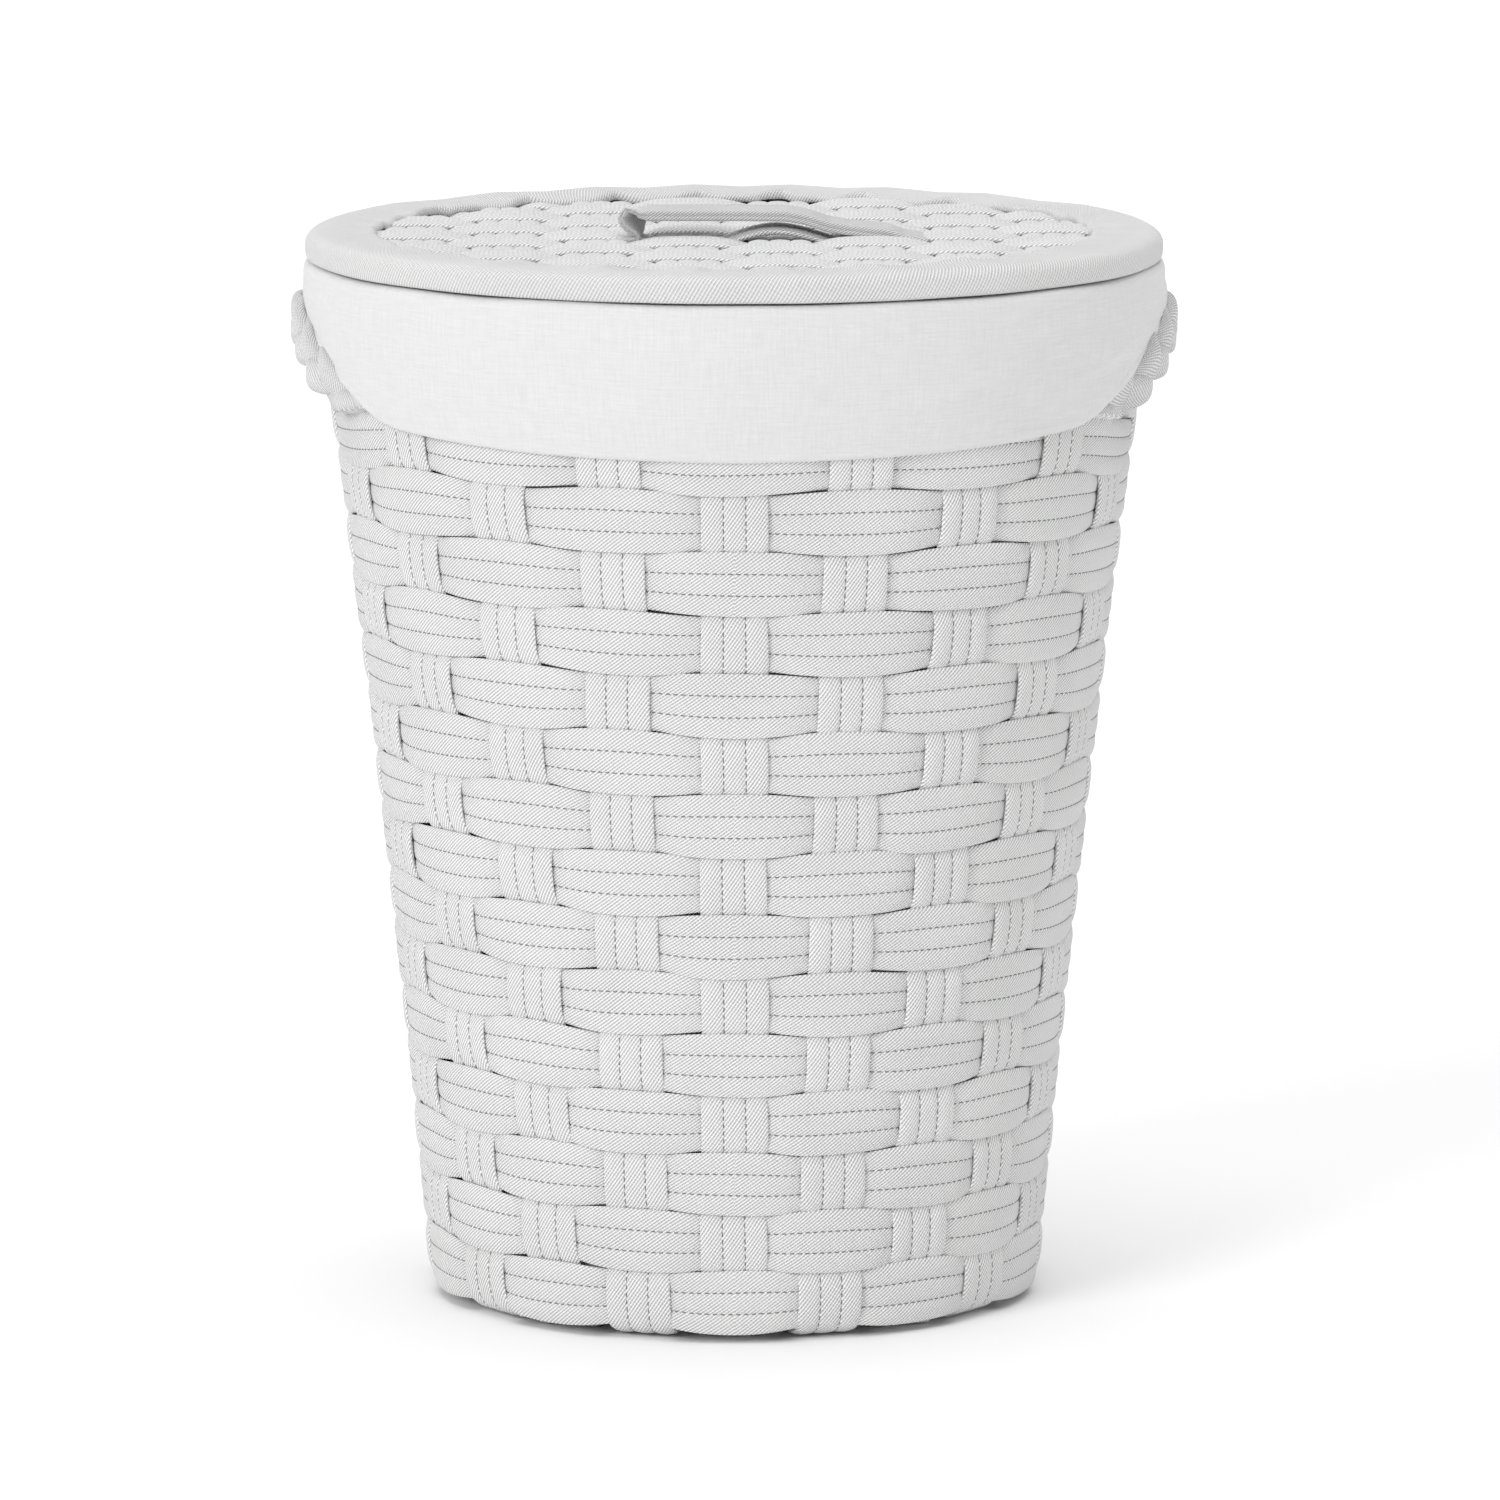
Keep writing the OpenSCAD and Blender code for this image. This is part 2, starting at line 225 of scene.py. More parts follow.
class Cloth:
    """Collects swept surfaces, then becomes one mesh object."""

    def __init__(self):
        self.points, self.faces, self.uvs, self.paint = [], [], [], []
        self.count = 0

    def add(self, points, faces, uvs, slot):
        self.points.append(above_floor(points))
        self.join(faces + self.count, uvs, slot)
        self.count += len(points)

    def join(self, faces, uvs, slot):
        """Adds faces between points that are already there."""
        self.faces.extend(faces.tolist())
        self.uvs.append(uvs)
        self.paint.append(np.full(len(faces), slot))

    def grid(self, rings, along, across, closed, ringed=True):
        """A surface through rings of points, with its UV distances along and across."""
        n, m = rings.shape[:2]
        i = np.arange(n if closed else n - 1)[:, None]
        j = np.arange(m if ringed else m - 1)[None, :]
        index = np.arange(n * m).reshape(n, m)
        corners = [(i, j), (i + 1, j), (i + 1, j + 1), (i, j + 1)]
        faces = np.stack([index[a % n, b % m] for a, b in corners], -1).reshape(-1, 4)
        places = [np.broadcast_arrays(along[a], across[a, b] if across.ndim > 1 else across[b])
                  for a, b in corners]
        uvs = np.stack([np.stack(place, -1) for place in places], -2).reshape(-1, 2)
        self.add(rings.reshape(-1, 3), faces, uvs, CLOTH_SLOT)

    def cap(self, ring):
        """Closes an end with one face over a ring of points."""
        self.points.append(above_floor(ring))
        self.faces.append(list(range(self.count, self.count + len(ring))))
        self.uvs.append(np.zeros((len(ring), 2)))
        self.paint.append(np.array([CLOTH_SLOT]))
        self.count += len(ring)

    def object(self, name, materials):
        mesh = bpy.data.meshes.new(name)
        mesh.from_pydata(np.concatenate(self.points).tolist(), [], self.faces)
        layer = mesh.uv_layers.new(name="cloth")
        layer.data.foreach_set("uv", np.concatenate(self.uvs).astype(np.float32).ravel())
        mesh.polygons.foreach_set("material_index", np.concatenate(self.paint).astype(np.int32))
        mesh.polygons.foreach_set("use_smooth", np.ones(len(self.faces), bool))
        for material in materials:
            mesh.materials.append(material)
        mesh.update()
        piece = bpy.data.objects.new(name, mesh)
        bpy.context.scene.collection.objects.link(piece)
        return piece


# ---- padded straps ----

GROOVE = 1 / 3  # where a line of stitches lies, as a share of the half width
# shares of the half width where a section has its points, closest together in the groove
FRONT_HALF = [0, 0.16, 0.26, 0.302, GROOVE, 0.365, 0.41, 0.52, 0.68, 0.81, 0.90, 0.955, 0.988, 1]
BACK_HALF = [0, 0.22, GROOVE, 0.45, 0.62, 0.8, 0.93]


def channel_height(q):
    """Half thickness of a strap at share q of its half width: three padded channels."""
    q = np.abs(q)
    edge = (1 - q ** 6) ** (1 / 2.4)
    crowned = 0.915 + 0.085 * np.cos(3 * math.pi * q)
    pinched = 1 - 0.32 * np.exp(-((q - GROOVE) / 0.040) ** 2)
    return edge * crowned * pinched


front = np.array([-q for q in FRONT_HALF[:0:-1]] + FRONT_HALF)
back = np.array(BACK_HALF[:0:-1] + [-q for q in BACK_HALF])
SECTION_Q = np.concatenate([front, back])
SECTION_H = np.concatenate([channel_height(front), -channel_height(back)])
SECTION_V = np.concatenate([front, 2 - back, [3]]) / 2  # UV across, in strap widths


def facing(path, across, closed):
    """Unit directions across a strap and out of its face, all along its path."""
    if closed:
        along = np.roll(path, -1, 0) - np.roll(path, 1, 0)
    else:
        along = np.gradient(path, axis=0)
    along = unit(along)
    out = unit(np.cross(along, across))
    return unit(np.cross(out, along)), out


def distances(path, closed):
    steps = np.linalg.norm(np.roll(path, -1, 0) - path, axis=1)
    run = np.concatenate([[0], np.cumsum(steps)])
    return run if closed else run[:-1]


def sew(cloth, path, across, width, thick, closed, faces=(1,), sunk=0.0):
    """Two lines of raised stitches along a strap, lying in its grooves."""
    across, out = facing(path, across, closed)
    run = distances(path, closed)
    count = int(run[-1] / STITCH_PITCH)
    places = (np.arange(count) + 0.5) * run[-1] / count
    ends = [places - STITCH_LENGTH / 2, places + STITCH_LENGTH / 2]
    table = np.concatenate([path, across, out, width[:, None], thick[:, None]], 1)
    if closed:
        table = np.concatenate([table, table[:1]])
    for face in faces:
        for side in (-1, 1):
            tips = []
            for end in ends:
                t = np.stack([np.interp(end, run, column) for column in table.T], 1)
                spot, sideways, up = t[:, 0:3], t[:, 3:6], t[:, 6:9] * face
                depth = channel_height(np.array([GROOVE]))[0] * t[:, 10:11] / 2 - sunk
                tips.append((spot + sideways * side * GROOVE * t[:, 9:10] / 2 + up * depth, sideways, up))
            add_threads(cloth, *tips)


def add_threads(cloth, start, end):
    """Short spindles from start to end; each is (points, sideways, outwards)."""
    (a, side, up), (b, _, _) = start, end
    sink = up * THREAD_R * 0.9
    rings = []
    for share in (0.2, 0.8):
        spot = a + (b - a) * share + up * THREAD_R * 0.35
        rings += [spot + up * THREAD_R, spot + side * THREAD_R, spot - up * THREAD_R, spot - side * THREAD_R]
    points = np.stack([a - sink] + rings + [b - sink], 1)
    pattern = []
    for i in range(4):
        j = (i + 1) % 4
        pattern += [[0, 1 + i, 1 + j, 0], [1 + i, 5 + i, 5 + j, 1 + j], [9, 5 + j, 5 + i, 9]]
    stitches = np.arange(len(points))[:, None, None] * 10
    quads = np.array([p for p in pattern if p[0] not in (0, 9)]) + stitches
    tris = np.array([p[:3] for p in pattern if p[0] in (0, 9)]) + stitches
    tris = tris.reshape(-1, 3) + cloth.count
    cloth.add(points.reshape(-1, 3), quads.reshape(-1, 4), np.zeros((quads.size, 2)), THREAD_SLOT)
    cloth.join(tris, np.zeros((tris.size, 2)), THREAD_SLOT)


def strap(cloth, path, across, width, thick, closed=False, uv_width=STAKE_W, sewn=(1,), sunk=0.0):
    """A padded strap of three channels along a path, with its stitches."""
    side, out = facing(path, across, closed)
    rings = (path[:, None] + side[:, None] * (SECTION_Q[None, :] * width[:, None] / 2)[..., None]
             + out[:, None] * (SECTION_H[None, :] * thick[:, None] / 2)[..., None])
    cloth.grid(rings, distances(path, closed), SECTION_V * uv_width, closed)
    if not closed:
        cloth.cap(rings[0])
        cloth.cap(rings[-1][::-1])
    sew(cloth, path, across, width, thick, closed, sewn, sunk)


def place(piece, body, slot, *nodes, fill=0.85):
    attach(piece, body)
    if nodes:
        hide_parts(*nodes)


# ---- materials ----


class Paint:
    """A Principled material whose nodes are made by short calls."""

    def __init__(self, name, roughness, sheen=0.0):
        self.material = bpy.data.materials.new(name)
        self.material.use_nodes = True
        self.tree = self.material.node_tree
        self.shader = self.tree.nodes["Principled BSDF"]
        self.shader.inputs["Roughness"].default_value = roughness
        self.shader.inputs["Sheen Weight"].default_value = sheen
        self.shader.inputs["Sheen Roughness"].default_value = 0.5
        self.shader.inputs["Specular IOR Level"].default_value = 0.25

    def node(self, kind, **settings):
        made = self.tree.nodes.new(kind)
        for key, value in settings.items():
            setattr(made, key, value)
        return made

    def put(self, socket, value):
        if isinstance(value, bpy.types.NodeSocket):
            self.tree.links.new(value, socket)
        else:
            socket.default_value = value

    def math(self, operation, *values):
        made = self.node("ShaderNodeMath", operation=operation)
        for socket, value in zip(made.inputs, values):
            self.put(socket, value)
        return made.outputs[0]

    def uv(self):
        made = self.node("ShaderNodeUVMap", uv_map="cloth")
        split = self.node("ShaderNodeSeparateXYZ")
        self.put(split.inputs[0], made.outputs[0])
        return made.outputs[0], split.outputs[0], split.outputs[1]

    def wave(self, u, v, a, b, pitch, shift=None):
        """A wave from 0 to 1 across lines that run at right angles to (a, b)."""
        turn = 2 * math.pi / pitch
        phase = self.math("ADD", self.math("MULTIPLY", u, a * turn), self.math("MULTIPLY", v, b * turn))
        if shift is not None:
            phase = self.math("ADD", phase, shift)
        return self.math("MULTIPLY_ADD", self.math("SINE", phase), 0.5, 0.5)

    def noise(self, scale, detail=2.0, where=None, stretch=None):
        made = self.node("ShaderNodeTexNoise")
        made.inputs["Scale"].default_value = scale
        made.inputs["Detail"].default_value = detail
        if where is None:
            where = self.node("ShaderNodeTexCoord").outputs["Object"]
        if stretch is not None:
            mapping = self.node("ShaderNodeMapping")
            mapping.inputs["Scale"].default_value = stretch
            self.put(mapping.inputs["Vector"], where)
            where = mapping.outputs[0]
        self.put(made.inputs["Vector"], where)
        return made.outputs["Fac"]

    def mix(self, share, dark, light):
        made = self.node("ShaderNodeMix", data_type="RGBA")
        self.put(made.inputs[0], share)
        for socket, value in ((made.inputs[6], dark), (made.inputs[7], light)):
            self.put(socket, value)
        return made.outputs[2]

    def bump(self, height, strength, depth, under=None):
        made = self.node("ShaderNodeBump")
        made.inputs["Strength"].default_value = strength
        made.inputs["Distance"].default_value = depth
        self.put(made.inputs["Height"], height)
        if under is not None:
            self.put(made.inputs["Normal"], under)
        return made.outputs[0]

    def finish(self, colour, normal):
        self.put(self.shader.inputs["Base Color"], colour)
        self.put(self.shader.inputs["Normal"], normal)
        return self.material


def grey(value):
    return (value, value, value, 1)


def twill(name, light, dark, degrees, pitch=0.00145):
    """Diagonal weave of short floats, with soft blotches and fine fibre."""
    paint = Paint(name, 0.86, 0.25)
    _, u, v = paint.uv()
    angle = math.radians(degrees)
    rib = paint.wave(u, v, -math.sin(angle), math.cos(angle), pitch)
    thread = paint.wave(u, v, math.cos(angle), math.sin(angle), pitch * 1.15)
    height = paint.math("MULTIPLY_ADD", thread, 0.35, rib)
    fibre = paint.noise(900.0, 3.0)
    height = paint.math("MULTIPLY_ADD", fibre, 0.5, height)
    blotch = paint.noise(22.0, 3.0)
    edged = paint.math("POWER", rib, 0.6)
    float_shape = paint.math("MULTIPLY_ADD", thread, 0.2, paint.math("MULTIPLY", edged, 0.85))
    share = paint.math("MULTIPLY_ADD", blotch, 0.2, float_shape)
    colour = paint.mix(share, dark, light)
    soft = paint.bump(paint.noise(140.0, 2.0), 0.25, 0.0006)
    return paint.finish(colour, paint.bump(height, 1.0, 0.0005, soft))


def liner_cotton():
    """Fine plain weave with thicker slubs along both threads."""
    paint = Paint("liner_cotton", 0.92, 0.2)
    where, u, v = paint.uv()
    warp = paint.wave(u, v, 1, 0, 0.00062, paint.math("MULTIPLY", paint.noise(55.0, 2.0), 6.0))
    weft = paint.wave(u, v, 0, 1, 0.00066, paint.math("MULTIPLY", paint.noise(48.0, 2.0), 6.0))
    slub_up = paint.noise(1.0, 2.0, where, (900.0, 60.0, 1.0))
    slub_side = paint.noise(1.0, 2.0, where, (60.0, 900.0, 1.0))
    slubs = paint.math("ADD", slub_up, slub_side)
    height = paint.math("MULTIPLY_ADD", slubs, 1.2, paint.math("MULTIPLY", warp, weft))
    colour = paint.mix(paint.math("MULTIPLY", slubs, 0.5), grey(0.66), grey(0.86))
    soft = paint.bump(paint.noise(26.0, 3.0), 0.3, 0.003)
    return paint.finish(colour, paint.bump(height, 0.7, 0.00025, soft))


def sewing_thread(name, dark, light):
    paint = Paint(name, 0.7, 0.1)
    twist = paint.noise(1500.0, 2.0)
    return paint.finish(paint.mix(twist, dark, light), paint.bump(twist, 0.4, 0.0001))


def steel_wire():
    paint = Paint("hoop_wire", 0.35)
    paint.shader.inputs["Metallic"].default_value = 1.0
    drawn = paint.noise(300.0, 3.0, None, (1.0, 1.0, 30.0))
    return paint.finish(paint.mix(drawn, grey(0.45), grey(0.62)), paint.bump(drawn, 0.2, 0.0001))


weaver_canvas = twill("weaver_canvas", grey(0.99), grey(0.31), 38)
stake_canvas = twill("stake_canvas", grey(0.99), grey(0.31), -36)
binding_twill = twill("binding_twill", grey(0.84), grey(0.48), 60, 0.0017)
braid_twill = twill("braid_twill", grey(0.84), grey(0.38), 40, 0.0012)
# Painted shade: the straps' stitching thread is near black, partly the thread's own grey and partly painted
# shade standing in for the shadow in the grooves where it lies.
thread = sewing_thread("sewing_thread", grey(0.12), grey(0.28))
pale_thread = sewing_thread("pale_thread", grey(0.62), grey(0.82))
cotton = liner_cotton()


# ---- the wall ----


def pressed(turn):
    """1 under a side handle, where the braid bears down on the weavers, and 0 away from it."""
    return np.exp(-(np.abs(degrees_from_front(turn) - 90) / PRESSED_WIDTH) ** 4)


def slip(turn, z):
    """How far a weaver has slipped down: more towards the sides and on the right, and hardly at the base."""
    return (SIDE_SAG * np.sin(turn) ** 6 * smooth(z / 0.45) + TILT * np.sin(turn)) * smooth(z / 0.10)


def weaver(n, rng):
    """Ring-shaped strap, outside every second stake and inside the ones between."""
    turn = round_turn(STAKES * 30)
    over = np.cos(STAKES / 2 * turn) * (1 if n % 2 else -1)
    press = pressed(turn) * (1 if n == BRAID_ROW else 0)
    follow = pressed(turn) * (PRESSED_EDGE if n == BRAID_ROW + 1 else 0)
    height = row_z[n - 1] + ripple(rng, turn, (3, 7, 11, 13), 0.0004) - PRESS_DOWN * (press + follow)
    height = height - slip(turn, row_z[n - 1])
    radius = wall_mid(height) + WEAVE * np.tanh(2.0 * (over + 0.45))
    radius = radius + ripple(rng, turn, (4, 9, 11, 17), 0.00025)
    path = at(radius, turn, height)
    across = outward(turn) * wall_lean(row_z[n - 1]) + UP
    width = WEAVER_W + WEAVER_SWELL * squarer(over, 0.7) + ripple(rng, turn, (6, 9, 13, 19), 0.0004)
    width = width - PRESS_DOWN * press
    thick = STRAP_T * (1 + 0.05 * over)
    cloth = Cloth()
    strap(cloth, path, across, width, thick, closed=True)
    piece = cloth.object("woven_ring_%02d" % n, [weaver_canvas, thread])
    place(piece, "basket", "weaver_canvas", weaver_node(n))


def stake_profile(outside_first, turn):
    """(radius, height) of a stake's middle from its top down to the turn under the base."""
    heights = np.arange(STAKE_TOP, row_z[0] - 0.004, -0.001)
    rows_up = (heights + slip(turn, heights) - row_z[0]) / ROW_PITCH
    wave = np.cos(math.pi * rows_up) * (1 if outside_first else -1)
    swing = np.tanh(3.2 * (wave - 0.25)) * (1 - smooth((heights - STAKE_CALM) / 0.012))
    wall = np.stack([wall_mid(heights) + WEAVE * swing, heights], 1)
    mid = wall_mid(0.0)
    if outside_first:
        foot = [(0.0024, 0.0125), (0.0004, 0.0075), (-0.0045, 0.0042), (-0.011, 0.0028)]
    else:
        foot = [(-0.0036, 0.0120), (-0.0052, 0.0075), (-0.0085, 0.0045), (-0.014, 0.0032)]
    return np.concatenate([wall, [(mid + r, z) for r, z in foot]])


BASE_LOW, BASE_HIGH = 0.0027, 0.0079
TURN_R = 0.138  # where a stake has turned in under the base
CENTRE = 2  # the straps each way are numbered 1 to 5, and the third is the middle one
CROSSING_HALF = 0.0115  # half the length over which a strap stays level where another crosses it
LEVEL_END = 0.008  # the length over which it stays low next to the turn


def base_heights(y, j, first):
    """Height of a strap under the base at y, over and under the straps that cross it."""
    spots, levels = [], []
    for i in range(-CENTRE, CENTRE + 1):
        crossing = TURN_R * math.sin(math.radians(STAKE_STEP * i))
        height = BASE_HIGH if (i + j + first) % 2 == 0 else BASE_LOW
        spots += [crossing - CROSSING_HALF, crossing + CROSSING_HALF]
        levels += [height, height]
    end = TURN_R * math.cos(math.radians(STAKE_STEP * j)) - LEVEL_END
    spots = [-end] + spots + [end]
    levels = [BASE_LOW] + levels + [BASE_LOW]
    keep = [k for k, s in enumerate(spots) if abs(s) <= end]
    return np.interp(y, [spots[k] for k in keep], [levels[k] for k in keep])


def strap_down(j, first, turn):
    """Middle of half a strap from its top down the wall, where all straps run from front to back."""
    lean = math.radians(STAKE_STEP * j)
    profile = stake_profile((j + first) % 2 == 1, turn)
    return np.array([math.sin(lean), -math.cos(lean), 0]) * profile[:, :1] + UP * profile[:, 1:]


def strap_under(j, first, side):
    """Middle of a strap under the base, and the directions across it."""
    lean = math.radians(STAKE_STEP * j)
    reach = TURN_R * math.cos(lean)
    y = np.arange(-reach, reach + 0.0005, 0.001)
    under = np.stack([0 * y + TURN_R * math.sin(lean), y, base_heights(y, j, first)], 1)
    turned = smooth((reach - np.abs(y)) / 0.03)[:, None]
    outer = np.sign(-y)[:, None] * np.array([[0, side[1], 0]]) + np.array([[side[0], 0, 0]])
    return under, unit(outer * (1 - turned) + np.array([[1.0, 0, 0]]) * turned)


def strap_line(way, j):
    """Middle of a long strap from one top to the other, and the directions across it."""
    first = 0 if way == "front_back" else 1
    lean = math.radians(STAKE_STEP * j)
    turns = (lean, math.pi - lean) if first == 0 else (math.pi / 2 + lean, -math.pi / 2 - lean)
    down, far = [strap_down(j, first, turn) for turn in turns]
    side = np.array([math.cos(lean), math.sin(lean), 0])
    under, under_side = strap_under(j, first, side)
    flip = np.array([1, -1, 1])
    path = np.concatenate([down, under, (far * flip)[::-1]])
    across = np.concatenate([down * 0 + side, under_side, down * 0 + side * flip])
    path, across = resampled(path, across, 0.0008)
    both = eased(np.concatenate([path, across], 1), 4)
    path, across = resampled(both[:, :3], both[:, 3:], STEP)
    if way == "left_right":
        quarter = np.array([[0, 1, 0], [-1, 0, 0], [0, 0, 1]])
        path, across = path @ quarter, across @ quarter
    return path, across


def long_strap(way, j, rng):
    """Strap that comes down one side, passes under the base and goes up the other side."""
    path, across = strap_line(way, j)
    share = np.linspace(0, 2 * math.pi, len(path))
    width = STAKE_W + ripple(rng, share, (9, 17, 23, 31), 0.0003)
    sway = ripple(rng, share, (5, 9, 14, 21), 0.0004)
    path = path + unit(across) * (sway * smooth((path[:, 2] - 0.02) / 0.05))[:, None]
    thick = np.full(len(path), STRAP_T)
    cloth = Cloth()
    strap(cloth, path, across, width, thick)
    number = j + CENTRE + 1
    piece = cloth.object("%s_stake_strap_%d" % (way, number), [stake_canvas, thread])
    place(piece, "basket", "stake_canvas", "%s_strap_%d" % (way, number))


def make_wall():
    for n in range(1, ROWS + 1):
        weaver(n, np.random.default_rng(100 + n))
    for number, way in enumerate(("front_back", "left_right")):
        for j in range(-CENTRE, CENTRE + 1):
            long_strap(way, j, np.random.default_rng(200 + 10 * number + j))


# ---- the rim ----

RIM_T = 0.0098  # through both layers of the band and what it is folded over
RIM_CLOTH = 0.0019


def rim_section(outer, bottom, top):
    """(radius, height) round the band: up outside, over the top, down inside, and back within the cloth."""
    inner, edge = outer - RIM_T, bottom + 0.001
    middle_r, half = (outer + inner) / 2, (outer - inner) / 2
    bend = [math.radians(a) for a in range(0, 181, 15)]
    outside, inside = [
        [(middle_r + size * math.cos(a), top - half + size * math.sin(a)) for a in bend]
        for size in (half, half - RIM_CLOTH)]
    inner_edge = [(inner, edge), (inner + 0.001, bottom), (inner + RIM_CLOTH, edge)]
    outer_edge = [(outer - RIM_CLOTH, edge), (outer - 0.001, bottom)]
    return np.array([(outer, edge)] + outside + inner_edge + inside[::-1] + outer_edge)


def make_rim():
    """Doubled band folded over the hoop and the tops of the stakes."""
    low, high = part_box("rim_binding")
    section = rim_section(high[0], low[2], high[2])
    turn = round_turn(320)
    rings = at(section[:, 0], turn[:, None], section[:, 1])
    cloth = Cloth()
    around = np.linspace(0, 2 * math.pi * high[0], len(turn) + 1)
    cloth.grid(rings, around, np.linspace(0, 0.1, len(section) + 1), True)
    piece = cloth.object("rim_band", [binding_twill])
    place(piece, "basket", "binding_twill", "rim_binding", fill=None)


# ---- the liner ----

BAG_TOP_Z = 0.4945  # above this the bag goes straight up to the rim
BAG_GAP = 0.0018
BAG_MEAN_R, CUFF_MEAN_R = 0.17, 0.21  # radii on which their cloth's weave is laid out


def bag_radius(z):
    return wall_in(np.minimum(z, BAG_TOP_Z)) - BAG_GAP


BAG_TOP_R = bag_radius(BAG_TOP_Z)
BAG_FLOOR_R = bag_radius(BAG_FLOOR) - 0.001


def bag_profile():
    """Radii and heights from the middle of the bag's floor out, round the corner and up its wall."""
    spans = np.linspace(0.03, 0.97, 16)
    corner = [math.radians(a) for a in (-80, -55, -30, -5)]
    radii = [s * BAG_FLOOR_R for s in spans] + [BAG_FLOOR_R - 0.004 + 0.004 * math.cos(a) for a in corner]
    heights = [BAG_FLOOR + 0.0006] * len(spans) + [BAG_FLOOR + 0.0046 + 0.004 * math.sin(a) for a in corner]
    wall = np.linspace(BAG_FLOOR + 0.012, CROWN_Z - 0.0035, 60)
    return np.array(radii + list(bag_radius(wall))), np.array(heights + list(wall))


def make_bag():
    """Cotton bag: a round floor panel, and a wall that hangs from the rim with slight folds."""
    rng = np.random.default_rng(7)
    turn = round_turn(360)
    radii, heights = bag_profile()
    rise = smooth((heights - BAG_FLOOR) / 0.05) * smooth((CROWN_Z - heights) / 0.03)
    folds = ripple(rng, turn, (5, 8, 13, 19), 0.0011) - 0.0012
    fine = ripple(rng, turn, (26, 31, 37), 0.0005)
    drop = 0.5 + 0.5 * np.cos(heights * 40)
    push = (folds[:, None] + fine[:, None] * drop) * rise
    crease = ripple(rng, turn, (7, 12, 17), 0.0005)[:, None] * (radii / BAG_FLOOR_R)
    crease = crease * (heights < BAG_FLOOR + 0.002)
    rings = at(radii + np.minimum(push, 0), turn[:, None], heights + np.maximum(crease, 0))
    cloth = Cloth()
    run = np.concatenate([[0], np.cumsum(np.hypot(np.diff(radii), np.diff(heights)))])
    cloth.grid(rings, np.linspace(0, 2 * math.pi * BAG_MEAN_R, len(turn) + 1), run, True, ringed=False)
    cloth.cap(rings[:, 0])
    piece = cloth.object("liner_bag", [cotton, thread])
    thickened(piece)
    place(piece, "basket", "liner_cotton", "liner_wall", "liner_floor", fill=None)
    return piece


def thickened(piece):
    made = piece.modifiers.new("thickness", "SOLIDIFY")
    made.thickness = CLOTH_T
    made.offset = 0


CUFF_CROWN = CROWN_Z - 0.0006
SHOULDER_Z = 0.5125  # where the cuff has come over the rim and starts to hang
WRINKLES = 26
NEAR_WRINKLES = 9  # how many of them lie together, right of the middle
HEM_ANGLES = [0, 30, 45, 55, 59, 61.7, 66, 70, 73.5, 79, 85, 90]
HEM_HEIGHTS = [0.4455, 0.4475, 0.450, 0.4522, 0.4560, 0.4610, 0.4695, 0.4770, 0.4830, 0.4905, 0.4950, 0.4970]


def hem_height(turn):
    """Height of the cuff's lower edge: level in front and behind, arched over each handle."""
    degrees = degrees_from_front(turn)
    off_middle = np.where(degrees > 90, 180 - degrees, degrees)
    return np.interp(off_middle, HEM_ANGLES, HEM_HEIGHTS)


def cuff_radius(z):
    """Radius of the cuff's outer face: drawn in at the hem and bulging just under the lid."""
    heights = [0.440, 0.446, 0.458, 0.472, 0.486, 0.498, 0.508, 0.514]
    clear_of_wall = [0.0012, 0.0016, 0.0040, 0.0062, 0.0068, 0.0066, 0.0056, 0.0040]
    return wall_out(z) + np.interp(z, heights, clear_of_wall)


def wrinkles(turn, z):
    """Soft creases in the cuff that run towards the right handle, and a few fainter ones elsewhere."""
    rng = np.random.default_rng(31)
    total = 0 * turn * z
    for i in range(WRINKLES):
        near = i < NEAR_WRINKLES
        middle_turn = math.radians(44 + rng.uniform(-20, 20)) if near else rng.uniform(-math.pi, math.pi)
        middle_z = rng.uniform(0.462, 0.505)
        away = away_from(turn, middle_turn)
        line = z - middle_z - rng.uniform(-0.2, 0.5) * 0.21 * away
        size = 0.00075 if near else 0.0004
        reach, half = math.radians(rng.uniform(7, 13)), rng.uniform(0.0030, 0.0050)
        total = total + size * np.exp(-(line / half) ** 2 - (away / reach) ** 2)
    return total * smooth((z - 0.452) / 0.012) * smooth((0.512 - z) / 0.010)


def cuff_roll():
    """(radius, height) of the cuff over the rim, from inside the bag's mouth out to its shoulder."""
    lip_r = BAG_TOP_R + 0.0003
    half = (cuff_radius(SHOULDER_Z) - lip_r) / 2
    over = [math.radians(a) for a in np.linspace(180, 0, 15)]
    roll = [(lip_r + half + half * np.sign(math.cos(a)) * abs(math.cos(a)) ** 0.42,
             SHOULDER_Z + (CUFF_CROWN - SHOULDER_Z) * abs(math.sin(a)) ** 0.45) for a in over]
    return np.array([(lip_r, 0.508)] + roll)


def cuff_shape(hem, uneven):
    """Radii and heights down the cuff at each angle: over the rim, down outside, and up behind its hem."""
    roll = cuff_roll()
    lifted = smooth((roll[:, 1] - SHOULDER_Z) / (CUFF_CROWN - SHOULDER_Z))
    down = np.linspace(0, 1, 34)[1:]
    heights = SHOULDER_Z + (hem[:, None] - SHOULDER_Z) * down
    radii = cuff_radius(heights)
    hem_in = np.array([0.0012, 0.0022, 0.0024])
    hem_up = np.array([-0.0004, 0.0012, 0.0060])
    radii = np.concatenate([np.repeat(roll[None, :, 0], len(hem), 0), radii, radii[:, -1:] - hem_in], 1)
    over = roll[:, 1] + uneven[:, None] * lifted
    return radii, np.concatenate([over, heights, heights[:, -1:] + hem_up], 1)


